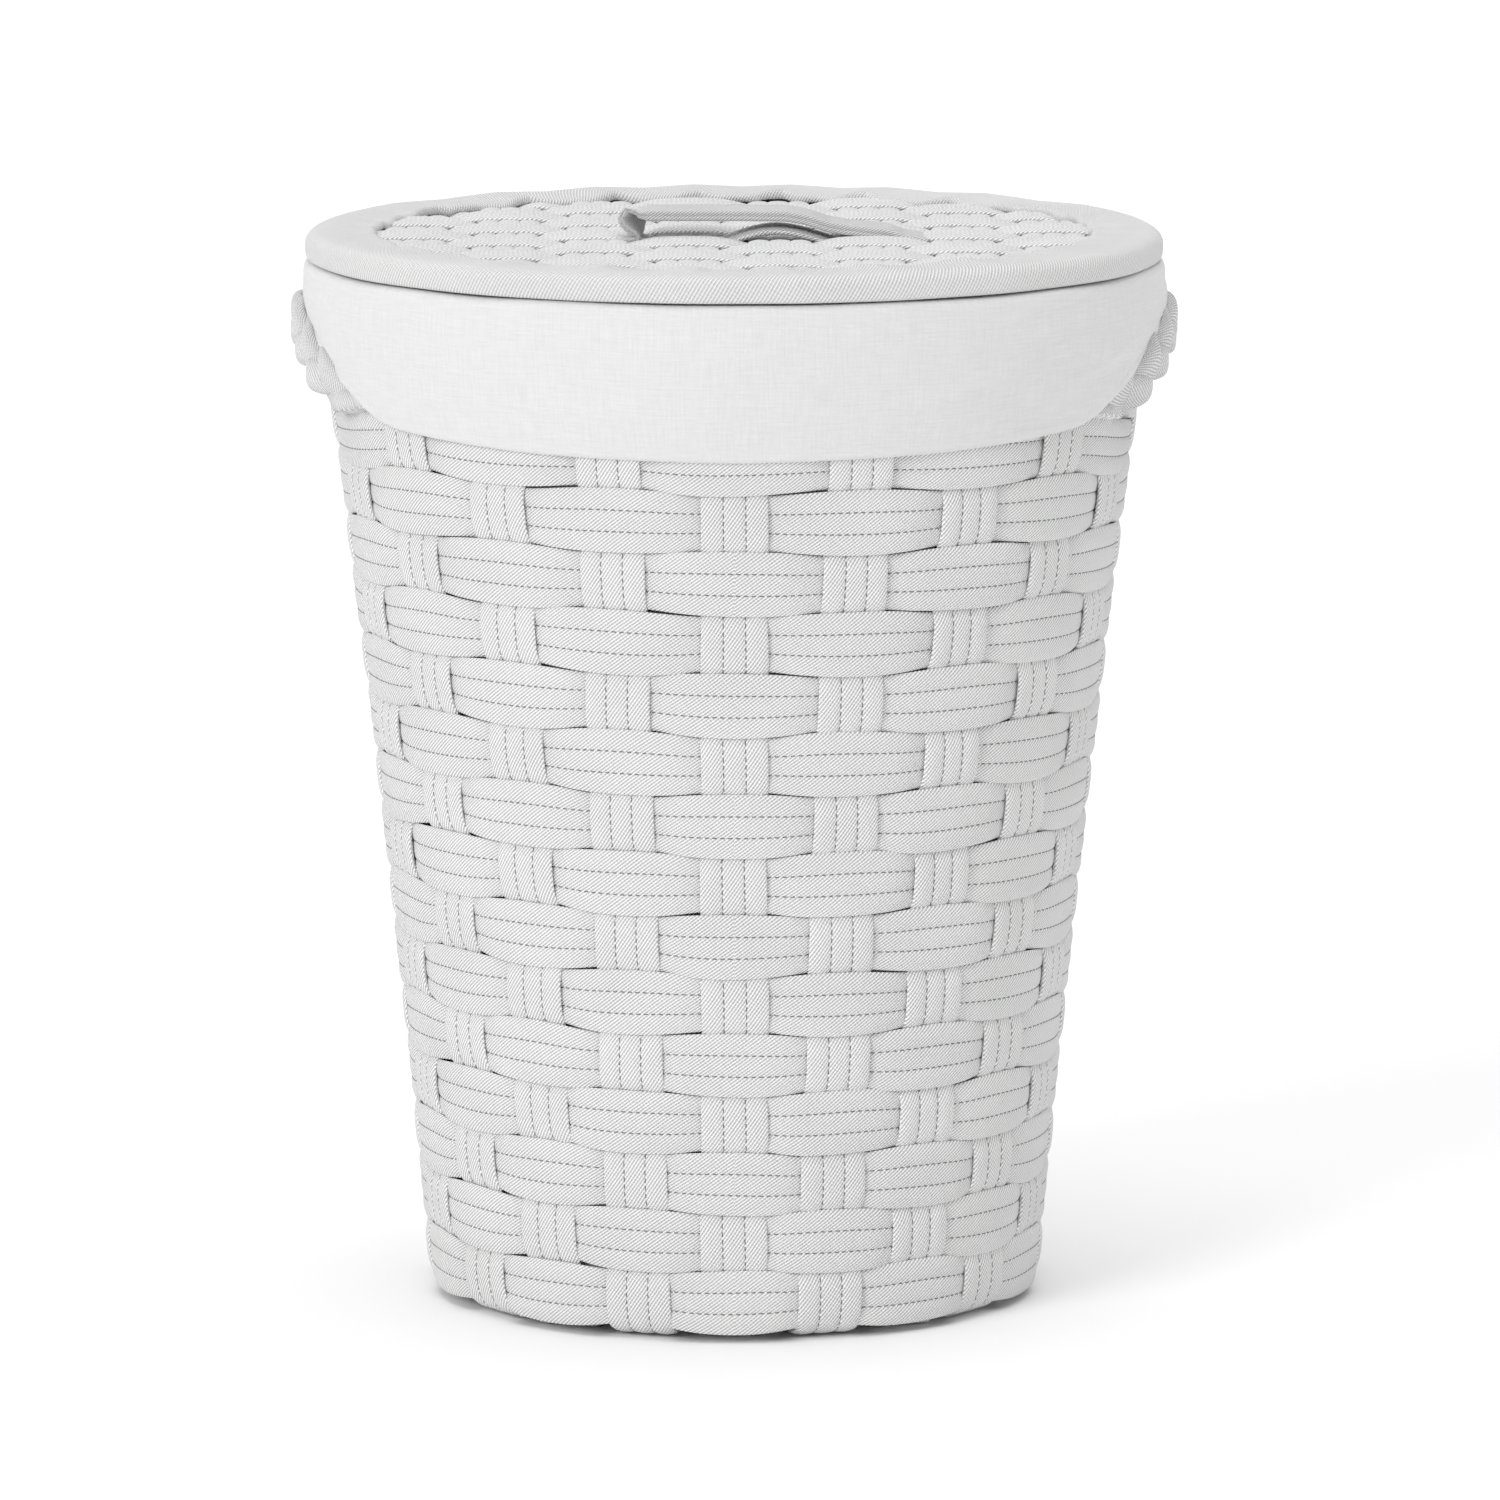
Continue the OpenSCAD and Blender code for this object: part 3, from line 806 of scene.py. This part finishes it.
def draped(radii, heights, turn, hem, rng):
    """The cuff's radii with its slack folds, slanting pulls, line of hem stitches and wrinkles."""
    share = np.clip((SHOULDER_Z - heights) / 0.06, 0, 1)
    slack = ripple(rng, turn, (3, 5, 8, 11), 0.0009)[:, None] * np.sin(math.pi * share ** 0.8)
    slant = np.sin(17 * turn[:, None] + 190 * (heights - 0.44))
    slant = slant * ripple(rng, turn, (2, 3, 5), 0.0003)[:, None]
    pull = -0.0005 * np.exp(-((heights - hem[:, None] - 0.0055) / 0.0012) ** 2)
    return radii + slack + slant * share + pull + wrinkles(turn[:, None], heights)


def make_cuff():
    """Top of the liner, folded out over the rim, with a doubled hem and an arch over each handle."""
    rng = np.random.default_rng(11)
    turn = round_turn(720)
    hem = hem_height(turn)
    hem = (hem + np.roll(hem, 2) + np.roll(hem, -2) + np.roll(hem, 4) + np.roll(hem, -4)) / 5
    uneven = ripple(rng, turn, (4, 7, 11, 15), 0.0003) + 0.0005 * np.sin(turn) ** 4
    radii, heights = cuff_shape(hem, uneven)
    radii = draped(radii, heights, turn, hem, rng)
    rings = at(radii, turn[:, None], heights)
    cloth = Cloth()
    steps = np.linalg.norm(np.diff(rings, axis=1), axis=2)
    run = np.concatenate([np.zeros((len(turn), 1)), np.cumsum(steps, 1)], 1)
    run = np.concatenate([run, run[:1]])
    cloth.grid(rings, np.linspace(0, 2 * math.pi * CUFF_MEAN_R, len(turn) + 1), run, True, ringed=False)
    piece = cloth.object("liner_cuff", [cotton, thread])
    thickened(piece)
    place(piece, "basket", "liner_cotton", "liner_cuff", fill=None)
    return piece


# ---- the side handles ----


def ending(s):
    """0 along most of a braid, growing to 1 where it goes into the wall."""
    return smooth((np.abs(s) - 0.60) / 0.40)


def braid_middle(s, side):
    """Middle of a braid: sloping up out of the weave at s = -1, over an arch, and down again at s = 1."""
    slope = np.sqrt(1 + (BRAID_BEND * s) ** 2) - 1
    z = HINGE_Z - 0.0015 + BRAID_RISE * (1 - slope / (math.sqrt(1 + BRAID_BEND ** 2) - 1))
    y = BRAID_HALF * s
    r = wall_out(z) + BRAID_GAP - BRAID_TAPER * ending(s)
    return np.stack([side * np.sqrt(r * r - y * y), y, z], -1)


def tucked_in(points):
    """Moves what lies below the top of the last weaver but one in behind that weaver."""
    r = np.hypot(points[..., 0], points[..., 1])
    z = points[..., 2]
    turn = np.arctan2(points[..., 0], -points[..., 1])
    row = row_z[BRAID_ROW - 1]
    edge = row + WEAVER_W / 2 - 0.0022 - PRESSED_EDGE * PRESS_DOWN * pressed(turn) - slip(turn, row)
    share = 1 - smooth((z - edge) / TUCK_LENGTH)
    behind = wall_out(z) - TUCK_DEPTH + 0.3 * (r - wall_out(z) - BRAID_GAP)
    moved = (r + (behind - r) * share) / r
    return points * np.stack([moved, moved, np.ones_like(moved)], -1)


def strand_rings(s, i, side):
    """Path and rings of one flattened tube, which crosses over and under the other two."""
    middle_line = braid_middle(s, side)
    along = unit(np.gradient(middle_line, axis=0))
    out = unit(middle_line * np.array([1, 1, 0]))
    across = unit(np.cross(out, along))
    turn = math.pi * BRAID_TURNS * (s + 1) + 2 * math.pi / 3 * i
    flat = 1 - 0.4 * ending(s)
    path = (middle_line + across * (STRAND_SWAY * np.sin(turn))[:, None]
            + out * (STRAND_DEPTH * flat * np.sin(2 * turn))[:, None])
    travel = unit(np.gradient(path, axis=0))
    face = unit(out - travel * (out * travel).sum(1, keepdims=True))
    wide = unit(np.cross(face, travel))
    q = round_turn(28)
    round_w = np.sign(np.cos(q)) * np.abs(np.cos(q)) ** 0.75
    round_t = np.sign(np.sin(q)) * np.abs(np.sin(q)) ** 0.8
    swell = 1 + 0.05 * np.cos(2 * turn)
    rings = (path[:, None] + wide[:, None] * (round_w[None, :] * STRAND_HALF_W * swell[:, None])[..., None]
             + face[:, None] * (round_t[None, :] * STRAND_HALF_T * (swell * flat)[:, None])[..., None])
    return path, tucked_in(rings)


def braid_strand(side_name, i):
    """One of a braid's three tubes, running out of the wall, over the handle's arch and back into the wall.
    """
    side = 1 if side_name == "right" else -1
    path, rings = strand_rings(np.linspace(-BRAID_END, BRAID_END, 280), i, side)
    cloth = Cloth()
    cloth.grid(rings, distances(path, False), np.linspace(0, STRAND_GIRTH, rings.shape[1] + 1), False)
    cloth.cap(rings[0])
    cloth.cap(rings[-1][::-1])
    piece = cloth.object("braid_%s_strand_%d" % (side_name, i), [braid_twill, thread])
    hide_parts("handle_%s_strand_%d" % (side_name, i))
    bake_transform(piece)


def make_handles():
    for side_name in ("left", "right"):
        for i in (1, 2, 3):
            braid_strand(side_name, i)
    make_tails()


TAIL_W, TAIL_T = 0.019, 0.0026
TAIL_FROM, TAIL_TO = -0.030, -0.008  # heights from the hinge between which a tail lies


def make_tails():
    """The four sewn ends of the braids, hidden behind a weaver."""
    cloth = Cloth()
    turn_from_side = math.acos(BRAID_HALF / (wall_out(HINGE_Z) + BRAID_GAP))
    for side in (-1, 1):
        for end in (-1, 1):
            turn = side * (math.pi / 2 + end * (math.pi / 2 - turn_from_side))
            out = np.array([math.sin(turn), -math.cos(turn), 0])
            wide = np.array([math.cos(turn), math.sin(turn), 0])
            z = np.linspace(HINGE_Z + TAIL_FROM, HINGE_Z + TAIL_TO, 14)
            path = out[None, :] * (wall_in(z) + 0.0022)[:, None] + np.stack([0 * z, 0 * z, z], 1)
            strap(cloth, path, np.repeat(-wide[None, :], len(path), 0), np.full(len(path), TAIL_W),
                  np.full(len(path), TAIL_T), uv_width=0.02)
    piece = cloth.object("braid_tails", [braid_twill, thread])
    place(piece, "basket", "braid_twill", "handle_tails", fill=0.6)


# ---- the lid ----

RIB_X = [middle("lid_rib_%d" % j, 0) for j in range(1, RIBS + 1)]
CROSS_Y = [middle("lid_cross_strap_%02d" % m, 1) for m in range(1, CROSS_STRAPS + 1)]
LID_END_R = 0.200  # how far out the straps run, inside the binding
RIB_WIDTH = (0.0320, 0.0)  # mean, and how much wider where it lies on top
CROSS_WIDTH = (0.0306, 0.0012)
SUNK_STITCH = 0.0004
RAISED_RIB, RAISED_CROSS = 5, 6  # the crossing by the handle where the strap has been pulled up


def swing(wave, lead, steepness, high, low):
    """Height of a strap: over where wave is 1, under where it is -1. With lead it stays over longer."""
    top, bottom = math.tanh(steepness * (1 + lead)), math.tanh(steepness * (lead - 1))
    share = (np.tanh(steepness * (wave + lead)) - bottom) / (top - bottom)
    return low + (high - low) * share


def lid_strap(name, node, offset, places, up_first, width, lift, lengthways, rng):
    """Strap of the lid, going over and under the ones that cross it, tucked into the binding."""
    half = math.sqrt(LID_END_R ** 2 - (abs(offset) + 0.012) ** 2)
    run = np.arange(-half, half, STEP)
    pitch = places[1] - places[0]
    wave = np.cos(math.pi * (run - places[0]) / pitch) * (1 if up_first else -1)
    fade = smooth((half - np.abs(run)) / 0.016)
    height = LID_MID + swing(wave, *(RIB_SWING if lengthways else CROSS_SWING)) * fade + lift(run)
    share = math.pi * run / half
    sway = ripple(rng, share, (2, 3, 5, 7), 0.0005)
    if lengthways:
        path = np.stack([offset + sway, run, height], 1)
        across = np.tile([-1.0, 0, 0], (len(run), 1))
    else:
        path = np.stack([run, offset + sway, height], 1)
        across = np.tile([0, 1.0, 0], (len(run), 1))
    across = -across if np.cross(path[1] - path[0], across[0])[2] < 0 else across
    mean, swell = width
    wide = mean + swell * squarer(wave, 0.7) * fade + ripple(rng, share, (4, 6, 9), 0.0003)
    thick = np.full(len(run), LID_STRAP_T)
    cloth = Cloth()
    strap(cloth, path, across, wide, thick, sewn=(1, -1), sunk=SUNK_STITCH)
    slot_name = "stake_canvas" if lengthways else "weaver_canvas"
    piece = cloth.object(name, [stake_canvas if lengthways else weaver_canvas, thread])
    place(piece, "lid", slot_name, node)


def raised_arch(run):
    """The strap under the handle has been pulled up at one crossing."""
    return 0.0036 * smooth(1 - np.abs(run - RIB_X[RAISED_RIB - 1] + 0.002) / 0.028)


def level(run):
    return 0 * run


def tuck_half(offset):
    """Half the distance between the places where one strap goes in under the binding."""
    return math.sqrt(LID_TUCK_R ** 2 - offset * offset)


def rib_ends(shift=0.0):
    """Angles round the lid where the ribs run into the binding."""
    return [math.atan2(x, sign * tuck_half(x)) + shift * sign for x in RIB_X for sign in (-1, 1)]


def cross_ends():
    """The same for the straps from side to side."""
    return [math.atan2(sign * tuck_half(y), -y) for y in CROSS_Y for sign in (-1, 1)]


def lid_section():
    """(radius, height above the lid's middle) round the binding: a rolled edge open towards the weave."""
    half = LID_T / 2
    turn = np.radians(np.linspace(-90, 90, 17))
    roll = [(LID_R - 0.0085 + 0.0085 * abs(math.cos(a)) ** (0.8 if a > 0 else 0.30),
             half * np.sign(a) * abs(math.sin(a)) ** (0.85 if a > 0 else 0.60)) for a in turn]
    drops = [(0.0135, -0.0001), (0.0200, 0.0003), (0.0260, 0.0009), (0.0310, 0.0013), (0.0345, 0.0008),
             (0.0368, 0.0010), (0.0380, 0.0024), (0.0380, 0.0042), (0.0366, 0.0055), (0.0330, 0.0052),
             (0.0290, 0.0036), (0.0220, 0.0030), (0.0150, 0.0030)]
    upper = [(LID_R - back_by, half - drop) for back_by, drop in drops]
    lower = [(r, -z) for r, z in reversed(upper)]
    return np.array(roll + upper + lower)


def tent(turn, peaks):
    """1 at each peak, falling in straight lines to 0 midway between peaks."""
    peaks = np.sort(np.asarray(peaks) % (2 * math.pi))
    peaks = np.concatenate([[peaks[-1] - 2 * math.pi], peaks, [peaks[0] + 2 * math.pi]])
    middles = (peaks[1:] + peaks[:-1]) / 2
    spots = np.sort(np.concatenate([peaks, middles]))
    levels = np.isin(spots, peaks).astype(float)
    return np.interp(turn % (2 * math.pi), spots, levels)


def scallop_phase(places):
    """Angles and the phase of the binding's inner edge, which grows by half a turn from place to place."""
    places = np.sort(np.asarray(places) % (2 * math.pi))
    spots = np.concatenate([[places[-1] - 2 * math.pi], places, [places[0] + 2 * math.pi]])
    return spots, math.pi * np.arange(len(spots))


def near_ends(turn):
    """1 where a strap's end lies under the binding, and 0 between ends."""
    bulge = 0 * turn
    for end in rib_ends() + cross_ends():
        bulge = np.maximum(bulge, np.exp(-(away_from(turn, end) / 0.050) ** 4))
    return bulge[:, None]


def make_lid_binding():
    """Twill rolled round the lid's edge, creased where the straps' ends run into it."""
    rng = np.random.default_rng(23)
    section = lid_section()
    turn = np.linspace(-math.pi, math.pi, 1080, endpoint=False)
    pleats_at = rib_ends(0.02)
    crease = tent(turn, pleats_at)[:, None]
    r, z = section.T
    inner = smooth((LID_R - 0.010 - r) / 0.025)
    upper = np.sign(z)
    behind = smooth(0.5 - 0.9 * np.cos(turn))[:, None]
    pleat = ripple(rng, turn, (29, 37, 43, 54), 0.0005) + ripple(rng, turn, (7, 11, 16), 0.0005)
    scallop = np.abs(np.sin(np.interp(turn % (2 * math.pi), *scallop_phase(pleats_at))))
    reach_in = 0.0036 * np.cos(2 * turn)[:, None]  # it reaches further in before and behind than at the sides
    r = r + inner * (0.0042 * (1 - scallop[:, None] ** 0.7) - 0.0014 + pleat[:, None] - reach_in)
    z = z + inner * upper * (0.0014 * near_ends(turn) - 0.0002 + 0.5 * pleat[:, None])
    z = z + (upper > 0) * (crease - 0.6) * (0.0006 + 0.0006 * behind) * smooth((z - 0.001) / 0.005)
    r = r + (1 - inner) * (ripple(rng, turn, (4, 7, 9, 15), 0.0003)[:, None] + 0.0006 * (crease - 0.5))
    rings = at(r, turn[:, None], LID_MID + z)
    cloth = Cloth()
    cloth.grid(rings, np.linspace(0, 2 * math.pi * LID_R, len(turn) + 1), girth_marks(section), True)
    piece = cloth.object("lid_edge_binding", [binding_twill])
    place(piece, "lid", "binding_twill", "lid_binding", fill=0.6)


HANDLE_Y = middle("lid_handle", 1)
LID_HANDLE_T = 0.0056
LID_HANDLE_HALF = 0.0146  # half its width
LID_HANDLE_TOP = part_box("lid_handle")[1][2] - LID_HANDLE_T / 2
LID_HANDLE_FOOT = LID_MID + 0.0020


def folded_section(half_width, half_thick):
    """(across, up) round a strap folded double: flat faces and sides with a groove where the layers meet."""
    side = [(1 - 0.10, 1.0), (1 - 0.03, 0.82), (1.0, 0.50), (1 - 0.012, 0.22), (1 - 0.05, 0.0)]
    right = side + [(x, -y) for x, y in reversed(side[:-1])]
    under = [(x, -1.0) for x in (0.6, 0.2, -0.2, -0.6)]
    left = [(-x, -y) for x, y in right]
    over = [(-x, 1.0) for x in (0.6, 0.2, -0.2, -0.6)]
    return np.array(right + under + left + over) * (half_width, half_thick)


def lid_handle_path():
    """Middle of the handle: folded up steeply at its left end, sloping gently into the weave at its right."""
    top, foot = LID_HANDLE_TOP, LID_HANDLE_FOOT
    points = np.array([
        (-0.066, foot - 0.001), (-0.056, foot), (-0.0495, foot + 0.0004), (-0.0475, foot + 0.0022),
        (-0.0498, top - 0.004), (-0.0504, top - 0.0004), (-0.0490, top), (-0.030, top), (0.0, top),
        (0.026, top - 0.0003), (0.036, top - 0.0020), (0.046, top - 0.0054), (0.056, foot + 0.0060),
        (0.067, foot + 0.0048), (0.077, foot + 0.0038), (0.084, foot + 0.0010), (0.096, foot - 0.001)])
    path = np.stack([points[:, 0], 0 * points[:, 0] + HANDLE_Y, points[:, 1]], 1)
    path, _ = resampled(path, path[:, :1], 0.0006)
    path = eased(path, 2)
    return resampled(path, path[:, :1], 0.0011)[0]


def make_lid_handle():
    """Strap folded double and stitched along both edges, sewn to the lid at its ends."""
    path = lid_handle_path()
    rise = (path[:, 2] - LID_HANDLE_FOOT) / (LID_HANDLE_TOP - LID_HANDLE_FOOT)
    turned = 0.50 * smooth((-0.036 - path[:, 0]) / 0.010) * smooth(1.1 * rise)  # the fold runs askew
    across = np.stack([np.sin(turned), np.cos(turned), 0 * turned], -1)
    side, out = facing(path, across, False)
    section = folded_section(LID_HANDLE_HALF, LID_HANDLE_T / 2)
    flat = 1 - 0.35 * smooth((-0.043 - path[:, 0]) / 0.004)  # the folded leg is pressed flatter
    rings = (path[:, None] + side[:, None] * section[None, :, :1]
             + out[:, None] * section[None, :, 1:] * flat[:, None, None])
    cloth = Cloth()
    cloth.grid(rings, distances(path, False), girth_marks(section), False)
    cloth.cap(rings[0])
    cloth.cap(rings[-1][::-1])
    stitched = np.full(len(path), LID_HANDLE_HALF / GROOVE * 0.86)  # sets how far apart the seams are
    sew(cloth, path, across, stitched, LID_HANDLE_T * 1.44 * flat, False)
    piece = cloth.object("lid_handle_strap", [braid_twill, pale_thread])
    place(piece, "lid", "braid_twill", "lid_handle")


def make_lid():
    for j in range(1, RIBS + 1):
        lid_strap("lid_long_strap_%d" % j, "lid_rib_%d" % j, RIB_X[j - 1], CROSS_Y, (1 + j) % 2 == 0,
                  RIB_WIDTH, level, True, np.random.default_rng(300 + j))
    for m in range(1, CROSS_STRAPS + 1):
        lift = raised_arch if m == RAISED_CROSS else level
        lid_strap("lid_wide_strap_%02d" % m, "lid_cross_strap_%02d" % m, CROSS_Y[m - 1], RIB_X,
                  (m + 1) % 2 == 1, CROSS_WIDTH, lift, False, np.random.default_rng(400 + m))
    make_lid_binding()
    make_lid_handle()


# ---- light, floor and camera ----

FLOOR_HALF = 40.0


def make_floor():
    mesh = bpy.data.meshes.new("floor")
    corners = [(-FLOOR_HALF, -FLOOR_HALF, 0), (FLOOR_HALF, -FLOOR_HALF, 0),
               (FLOOR_HALF, FLOOR_HALF, 0), (-FLOOR_HALF, FLOOR_HALF, 0)]
    mesh.from_pydata(corners, [], [(0, 1, 2, 3)])
    floor = bpy.data.objects.new("studio_floor", mesh)
    bpy.context.scene.collection.objects.link(floor)
    paint = Paint("studio_floor", 0.9)
    speck = paint.noise(3.0, 2.0)
    colour = paint.mix(speck, grey(0.97), grey(0.98))
    mesh.materials.append(paint.finish(colour, paint.bump(speck, 0.02, 0.001)))


def sun(name, place_at, strength, spread):
    """Broad studio light that shines from a direction on everything alike."""
    data = bpy.data.lights.new(name, "SUN")
    data.energy = strength
    data.angle = math.radians(spread)
    light = bpy.data.objects.new(name, data)
    x, y, z = place_at
    light.rotation_euler = (math.atan2(math.hypot(x, y), z), 0, math.atan2(x, -y))
    bpy.context.scene.collection.objects.link(light)


def make_studio():
    world = bpy.data.worlds.new("studio")
    world.use_nodes = True
    world.node_tree.nodes["Background"].inputs["Color"].default_value = (1, 1, 1, 1)
    world.node_tree.nodes["Background"].inputs["Strength"].default_value = 0.66
    bpy.context.scene.world = world
    sun("key", (-0.56, -0.70, 0.45), 1.12, 24)
    sun("top", (0.05, 0.1, 1.0), 1.12, 60)
    bpy.context.scene.view_settings.view_transform = "Standard"
    make_floor()


def make_camera():
    data = bpy.data.cameras.new("camera")
    data.sensor_width = 36
    data.lens = 264.9
    data.shift_x = 0.0105
    data.clip_end = 100
    camera = bpy.data.objects.new("camera", data)
    camera.location = (0, -5.5, 1.134)
    camera.rotation_euler = (math.pi / 2 - 0.1553, 0, 0)
    bpy.context.scene.collection.objects.link(camera)
    bpy.context.scene.camera = camera


def paint_hoops():
    wire = steel_wire()
    for node in ("rim_hoop", "lid_hoop"):
        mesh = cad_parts[node].data
        for index in range(len(mesh.materials)):
            mesh.materials[index] = wire


make_camera()
make_studio()
make_wall()
make_rim()
bag = make_bag()
cuff = make_cuff()
make_handles()
make_lid()
paint_hoops()
